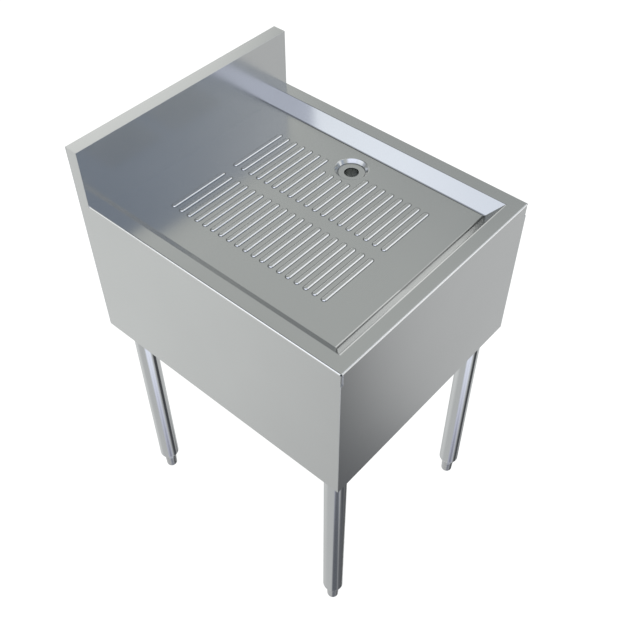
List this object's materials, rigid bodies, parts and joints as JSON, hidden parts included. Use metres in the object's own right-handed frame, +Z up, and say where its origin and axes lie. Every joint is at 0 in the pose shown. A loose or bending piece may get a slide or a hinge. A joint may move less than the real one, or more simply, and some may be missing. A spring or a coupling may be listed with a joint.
{
  "type": "underbar drainboard cabinet",
  "caption": "Stainless underbar drainboard cabinet: sunk tray with raised ribs falling to a drain, backsplash, deep apron and tube legs on adjustable feet.",
  "frame": {"origin": "on the floor, under the middle of the cabinet's outline", "axes": "+X along the front from left to right, +Y from the front to the wall, +Z up"},
  "size_m": [0.4572, 0.5398, 0.852],
  "materials": {
    "brushed_top": "fine brushed stainless, tray and rim",
    "brushed_panel": "fine brushed stainless sheet",
    "channel_steel": "mill finish sheet",
    "drain_fitting": "machined",
    "socket_steel": "welded, plain",
    "screw_steel": "dark plated",
    "leg_tube": "satin tube",
    "insert_zinc": "cast and plated",
    "foot_metal": "turned and polished"
  },
  "bodies": {
    "cabinet": {"drainboard_top": "brushed_top", "front_apron": "brushed_panel", "left_side_panel": "brushed_panel", "right_side_panel": "brushed_panel", "rear_panel": "brushed_panel", "left_leg_channel": "channel_steel", "right_leg_channel": "channel_steel", "front_stiffener": "channel_steel", "rear_stiffener": "channel_steel", "drain_nipple": "drain_fitting", "socket_front_left": "socket_steel", "socket_front_right": "socket_steel", "socket_rear_left": "socket_steel", "socket_rear_right": "socket_steel", "socket_set_screws": "screw_steel", "corner_plate_front_left": "channel_steel", "corner_plate_front_right": "channel_steel", "corner_plate_rear_left": "channel_steel", "corner_plate_rear_right": "channel_steel", "leg_front_left": "leg_tube", "leg_front_right": "leg_tube", "leg_rear_left": "leg_tube", "leg_rear_right": "leg_tube", "foot_insert_front_left": "insert_zinc", "foot_insert_front_right": "insert_zinc", "foot_insert_rear_left": "insert_zinc", "foot_insert_rear_right": "insert_zinc"},
    "adjustable_foot_front_left": {"foot_front_left": "foot_metal"},
    "adjustable_foot_front_right": {"foot_front_right": "foot_metal"},
    "adjustable_foot_rear_left": {"foot_rear_left": "foot_metal"},
    "adjustable_foot_rear_right": {"foot_rear_right": "foot_metal"}
  },
  "joints": [
    {"name": "front_left_foot_height", "type": "slide", "parent": "cabinet", "child": "adjustable_foot_front_left", "axis": [0, 0, -1], "range_m": [-0.004, 0.0214]},
    {"name": "front_right_foot_height", "type": "slide", "parent": "cabinet", "child": "adjustable_foot_front_right", "axis": [0, 0, -1], "range_m": [-0.004, 0.0214]},
    {"name": "rear_left_foot_height", "type": "slide", "parent": "cabinet", "child": "adjustable_foot_rear_left", "axis": [0, 0, -1], "range_m": [-0.004, 0.0214]},
    {"name": "rear_right_foot_height", "type": "slide", "parent": "cabinet", "child": "adjustable_foot_rear_right", "axis": [0, 0, -1], "range_m": [-0.004, 0.0214]}
  ]
}
